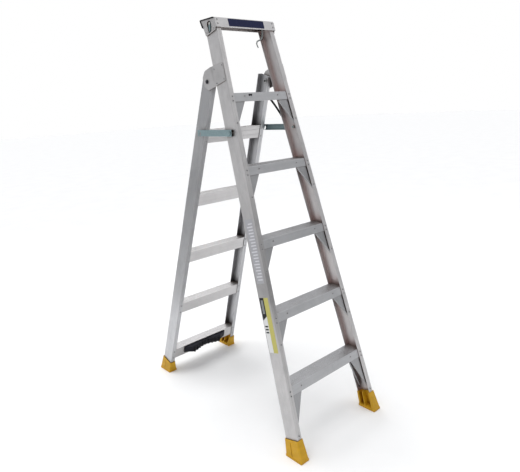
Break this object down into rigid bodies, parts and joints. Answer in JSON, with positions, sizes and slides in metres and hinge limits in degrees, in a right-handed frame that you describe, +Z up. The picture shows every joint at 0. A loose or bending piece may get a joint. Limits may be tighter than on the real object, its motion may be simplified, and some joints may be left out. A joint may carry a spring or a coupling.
{
  "type": "dual-purpose ladder",
  "caption": "Aluminium stepladder with a rung-backed rear section that swings up to make a straight extension ladder, with spreaders, plastic feet and a pole support.",
  "frame": {"origin": "on the ground, at the middle of the ladder's footprint, halfway between the toe of the front feet and the heel of the rear feet", "axes": "+Z up; +X to the climber's right, along the treads; +Y away from the climber, towards the rear section"},
  "size_m": [0.554, 1.1586, 1.8062],
  "materials": {
    "mill_aluminium": "mill-finish extrusion, satin with fine lengthwise drawing lines",
    "galvanised_steel": "zinc-coated, slightly blue-green, satin",
    "zinc_plate": "bright zinc-plated fasteners",
    "yellow_plastic": "moulded, golden yellow, fine grain",
    "black_rubber": "moulded, matt",
    "black_plastic": "moulded, near black with a blue cast, satin"
  },
  "bodies": {
    "front_frame": {"front_stile_left": "mill_aluminium", "front_stile_right": "mill_aluminium", "tread_1": "mill_aluminium", "tread_2": "mill_aluminium", "tread_3": "mill_aluminium", "tread_4": "mill_aluminium", "tread_5": "mill_aluminium", "tread_brace_left_1": "mill_aluminium", "tread_brace_left_2": "mill_aluminium", "tread_brace_left_3": "mill_aluminium", "tread_brace_left_4": "mill_aluminium", "tread_brace_left_5": "mill_aluminium", "tread_brace_right_1": "mill_aluminium", "tread_brace_right_2": "mill_aluminium", "tread_brace_right_3": "mill_aluminium", "tread_brace_right_4": "mill_aluminium", "tread_brace_right_5": "mill_aluminium", "rear_brace_left": "mill_aluminium", "rear_brace_right": "mill_aluminium", "top_cap": "mill_aluminium", "cap_end_left": "mill_aluminium", "cap_trim_left": "black_rubber", "hinge_plate_left": "mill_aluminium", "hinge_bolt_left": "zinc_plate", "hinge_nut_left": "zinc_plate", "spreader_bolt_left": "zinc_plate", "spreader_bush_left": "zinc_plate", "spreader_nut_left": "zinc_plate", "front_foot_left": "yellow_plastic", "cap_end_right": "mill_aluminium", "cap_trim_right": "black_rubber", "hinge_plate_right": "mill_aluminium", "hinge_bolt_right": "zinc_plate", "hinge_nut_right": "zinc_plate", "spreader_bolt_right": "zinc_plate", "spreader_bush_right": "zinc_plate", "spreader_nut_right": "zinc_plate", "front_foot_right": "yellow_plastic", "retaining_strap": "black_rubber"},
    "rear_frame": {"rear_stile_left": "mill_aluminium", "rear_stile_right": "mill_aluminium", "rung_1": "mill_aluminium", "rung_2": "mill_aluminium", "rung_3": "mill_aluminium", "rung_4": "mill_aluminium", "rung_5": "mill_aluminium", "rear_foot_left": "yellow_plastic", "rear_foot_right": "yellow_plastic", "pole_support": "black_plastic", "pole_pad": "black_rubber", "spreader_stud_left": "zinc_plate", "spreader_stud_right": "zinc_plate"},
    "spreader_left": {"spreader_left": "galvanised_steel"},
    "spreader_right": {"spreader_right": "galvanised_steel"},
    "lock_left": {"lock_pin_left": "zinc_plate", "lock_hook_left": "galvanised_steel", "lock_lever_left": "galvanised_steel"},
    "lock_right": {"lock_pin_right": "zinc_plate", "lock_hook_right": "galvanised_steel", "lock_lever_right": "galvanised_steel"}
  },
  "joints": [
    {"name": "rear_fold", "type": "hinge", "parent": "front_frame", "child": "rear_frame", "pos_m": [0, -0.00862, 1.55429], "axis": [1, 0, 0], "range_deg": [-34.3, 143.9]},
    {"name": "spreader_left_lift", "type": "hinge", "parent": "front_frame", "child": "spreader_left", "pos_m": [-0.194, -0.1608, 1.33909], "axis": [1, 0, 0], "range_deg": [0, 100]},
    {"name": "spreader_right_lift", "type": "hinge", "parent": "front_frame", "child": "spreader_right", "pos_m": [0.194, -0.1608, 1.33909], "axis": [1, 0, 0], "range_deg": [0, 100]},
    {"name": "lock_left_lift", "type": "hinge", "parent": "front_frame", "child": "lock_left", "pos_m": [-0.15, -0.03837, 1.78426], "axis": [1, 0, 0], "range_deg": [0, 25]},
    {"name": "lock_right_lift", "type": "hinge", "parent": "front_frame", "child": "lock_right", "pos_m": [0.15, -0.03837, 1.78426], "axis": [1, 0, 0], "range_deg": [0, 25]}
  ]
}
